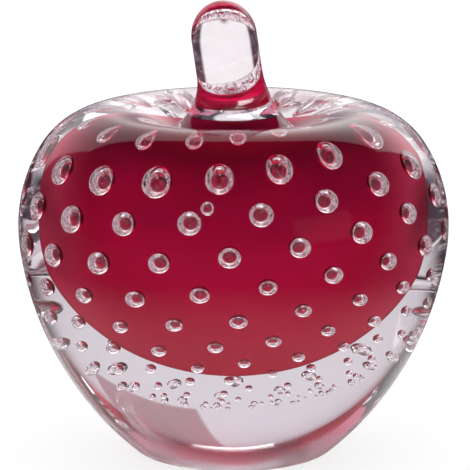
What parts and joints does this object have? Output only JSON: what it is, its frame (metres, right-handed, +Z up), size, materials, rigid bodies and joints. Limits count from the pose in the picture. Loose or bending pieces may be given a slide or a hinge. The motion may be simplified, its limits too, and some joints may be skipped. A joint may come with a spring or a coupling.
{
  "type": "art glass apple",
  "caption": "Apple-shaped glass ornament and paperweight: a ruby core in a thick clear casing with rows of trapped air bubbles, a clear leaning stem and a flat polished base.",
  "frame": {"origin": "middle of the flat polished base, on the surface that the apple stands on", "axes": "+Z up along the apple's axis to the stem, -Y towards the viewer of the picture, +X to that viewer's right"},
  "size_m": [0.0936, 0.0936, 0.1001],
  "materials": {
    "clear_glass": "fire-polished clear crystal",
    "ruby_glass": "transparent ruby red, sealed under the clear casing"
  },
  "bodies": {
    "root": {"clear_casing": "clear_glass", "bubble_gather": "clear_glass", "ruby_core": "ruby_glass", "stem": "clear_glass"}
  },
  "joints": []
}
